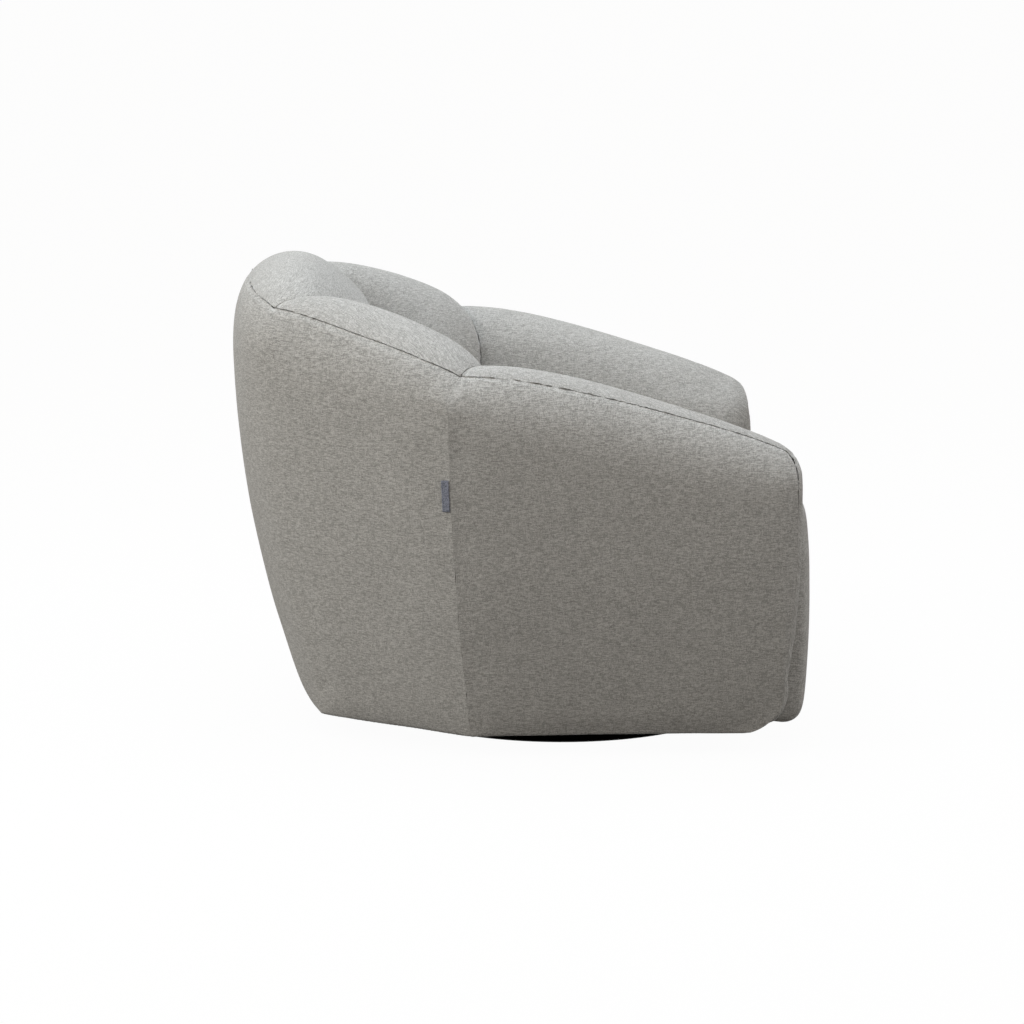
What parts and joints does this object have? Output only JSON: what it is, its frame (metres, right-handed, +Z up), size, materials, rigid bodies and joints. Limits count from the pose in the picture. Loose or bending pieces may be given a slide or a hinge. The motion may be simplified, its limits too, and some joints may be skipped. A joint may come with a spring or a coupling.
{
  "type": "swivel tub chair",
  "caption": "Low upholstered tub chair with puffy wrap-around arms, wings and back and a waterfall seat, turning on a round plinth.",
  "frame": {"origin": "on the floor under the swivel axis, at the middle of the plinth's floor pad", "axes": "+Z up along the swivel axis, -Y the way the seat faces at rest, -X the sitter's right"},
  "size_m": [0.8204, 0.8573, 0.695],
  "materials": {
    "upholstery_fabric": "heathered grey linen-like weave",
    "tab_cloth": "plain blue-grey woven tape",
    "black_plinth": "matt black paint",
    "felt": "pressed felt",
    "dust_cloth": "thin black non-woven",
    "foam": "open-cell foam",
    "timber": "unfinished plywood",
    "bearing_plate": "zinc-plated pressed steel",
    "bearing_steel": "polished ball",
    "cage_plastic": "moulded nylon",
    "fastener_steel": "zinc plated",
    "spring_steel": "oiled spring wire"
  },
  "bodies": {
    "base": {"floor_pad": "felt", "base_plinth": "black_plinth", "swivel_lower_plate": "bearing_plate", "lower_plate_screws": "fastener_steel", "pivot_bolt": "fastener_steel", "pivot_washer": "fastener_steel", "pivot_nut": "fastener_steel"},
    "bearing": {"ball_cage": "cage_plastic", "swivel_balls": "bearing_steel"},
    "chair": {"arm_cover_right": "upholstery_fabric", "arm_cover_left": "upholstery_fabric", "arm_pad_right": "upholstery_fabric", "arm_pad_left": "upholstery_fabric", "wing_cover_right": "upholstery_fabric", "wing_cover_left": "upholstery_fabric", "wing_pad_right": "upholstery_fabric", "wing_pad_left": "upholstery_fabric", "back_cover": "upholstery_fabric", "back_pad": "upholstery_fabric", "seat_cushion": "upholstery_fabric", "bottom_board": "timber", "arm_board_right": "timber", "arm_board_left": "timber", "wing_board_right": "timber", "wing_board_left": "timber", "back_board": "timber", "front_rail": "timber", "seat_rail_right": "timber", "seat_rail_left": "timber", "seat_back_rail": "timber", "wing_block_right": "timber", "wing_block_left": "timber", "back_block_right": "timber", "back_block_left": "timber", "swivel_upper_plate": "bearing_plate", "pivot_bush": "cage_plastic", "upper_plate_screws": "fastener_steel", "tee_nuts": "fastener_steel", "dust_cover": "dust_cloth", "board_screws": "fastener_steel", "seat_springs": "spring_steel", "spring_clips": "fastener_steel", "seat_deck": "felt", "seat_foam_core": "foam", "seam_tab": "tab_cloth"}
  },
  "joints": [
    {"name": "swivel", "type": "hinge", "parent": "base", "child": "chair", "pos_m": [0, 0, 0], "axis": [0, 0, 1], "continuous": true},
    {"name": "cage_turn", "type": "hinge", "parent": "base", "child": "bearing", "pos_m": [0, 0, 0], "axis": [0, 0, 1], "continuous": true}
  ],
  "couplings": [
    {"joint": "cage_turn", "follows": "swivel", "ratio": 0.5}
  ]
}
